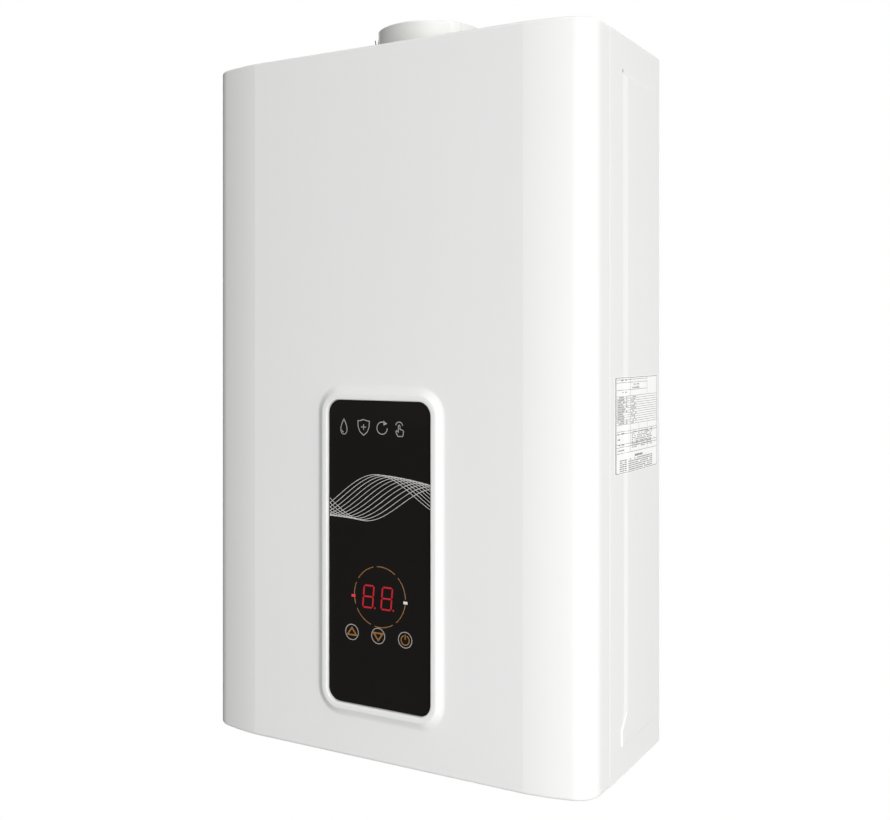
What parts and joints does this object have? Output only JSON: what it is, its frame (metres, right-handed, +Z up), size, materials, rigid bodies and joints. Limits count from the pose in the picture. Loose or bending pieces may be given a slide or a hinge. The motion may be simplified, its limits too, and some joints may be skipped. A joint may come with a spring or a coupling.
{
  "type": "tankless gas water heater",
  "caption": "Wall-hung open-flue tankless gas water heater: curved white steel cover, black touch-glass display and top flue collar over burner, copper exchanger and gas and water parts.",
  "frame": {"origin": "middle of the back of the casing, on the wall plane", "axes": "+X to the right seen from the front, +Y out of the back into the wall, +Z up"},
  "size_m": [0.3623, 0.1635, 0.6264],
  "materials": {
    "white_enamel": "satin stoved enamel, warm white",
    "label_film": "matt white printed film with grey ruling",
    "collar_sheet": "satin rolled sheet",
    "galvanised_sheet": "zinc-coated sheet, dull with a faint spangle",
    "copper": "copper, satin, darker where it is heated",
    "stainless_steel": "stainless sheet, satin",
    "zinc_steel": "bright zinc-plated steel",
    "cast_aluminium": "die-cast, fine blasted surface",
    "brass": "turned and forged brass, satin",
    "black_glass": "toughened glass, printed black on its back",
    "black_plastic": "moulded, fine-grained",
    "grey_plastic": "moulded, fine-grained",
    "rotor_plastic": "smooth moulded",
    "display_plastic": "smoked red lens over the segments",
    "green_board": "lacquered circuit board",
    "ceramic": "white glazed insulator",
    "rubber": "matt",
    "lead_sleeve": "silicone sleeve"
  },
  "bodies": {
    "casing": {"rear_casing": "white_enamel", "top_plate": "white_enamel", "bottom_plate": "white_enamel", "rating_label": "label_film", "flue_collar": "collar_sheet", "draught_hood": "galvanised_sheet", "draught_baffle": "galvanised_sheet", "spill_thermostat": "zinc_steel", "heated_tube": "copper", "exchanger_shell": "copper", "exchanger_fins": "copper", "chassis_brackets": "galvanised_sheet", "overheat_thermostat": "zinc_steel", "burner_frame": "galvanised_sheet", "burner_bars": "stainless_steel", "gas_manifold": "cast_aluminium", "gas_nozzles": "brass", "electrode_plate": "galvanised_sheet", "electrode_ceramics": "ceramic", "electrode_wires": "stainless_steel", "gas_valve_body": "cast_aluminium", "shutoff_solenoid": "black_plastic", "modulating_solenoid": "black_plastic", "shutoff_spring": "zinc_steel", "modulating_spring": "zinc_steel", "gas_pipe": "zinc_steel", "gas_inlet": "brass", "cold_inlet": "brass", "drain_plug": "grey_plastic", "inlet_filter": "stainless_steel", "hot_outlet": "brass", "outlet_thermistor": "zinc_steel", "hot_pipe": "copper", "cold_pipe": "copper", "pipe_unions": "brass", "flow_sensor_body": "brass", "turbine_cage": "grey_plastic", "turbine_shaft": "stainless_steel", "hall_sensor": "black_plastic", "control_box": "grey_plastic", "control_lid": "grey_plastic", "control_board": "green_board", "control_bracket": "galvanised_sheet", "spark_unit": "black_plastic", "ignition_leads": "lead_sleeve", "display_lead": "lead_sleeve", "cable_gland": "grey_plastic"},
    "cover": {"front_cover": "white_enamel", "cover_screws": "zinc_steel", "control_glass": "black_glass", "glass_gasket": "rubber", "display_housing": "black_plastic", "display_board": "green_board", "display_digits": "display_plastic", "touch_key_springs": "zinc_steel"},
    "turbine": {"flow_turbine": "rotor_plastic"},
    "shutoff_plunger": {"shutoff_plunger": "zinc_steel", "shutoff_disc": "rubber"},
    "modulating_plunger": {"modulating_plunger": "zinc_steel", "modulating_disc": "rubber"}
  },
  "joints": [
    {"name": "cover_off", "type": "slide", "parent": "casing", "child": "cover", "axis": [0, -1, 0], "range_m": [0, 0.2]},
    {"name": "turbine_spin", "type": "hinge", "parent": "casing", "child": "turbine", "pos_m": [0.125, -0.085, -0.242], "axis": [0, 0, 1], "continuous": true},
    {"name": "shutoff_lift", "type": "slide", "parent": "casing", "child": "shutoff_plunger", "axis": [0, 0, 1], "range_m": [0, 0.003], "stiffness_N_per_m": 400, "springref_m": -0.003, "deforming": ["shutoff_spring"]},
    {"name": "modulating_lift", "type": "slide", "parent": "casing", "child": "modulating_plunger", "axis": [0, 0, 1], "range_m": [0, 0.0025], "stiffness_N_per_m": 400, "springref_m": -0.003, "deforming": ["modulating_spring"]}
  ]
}
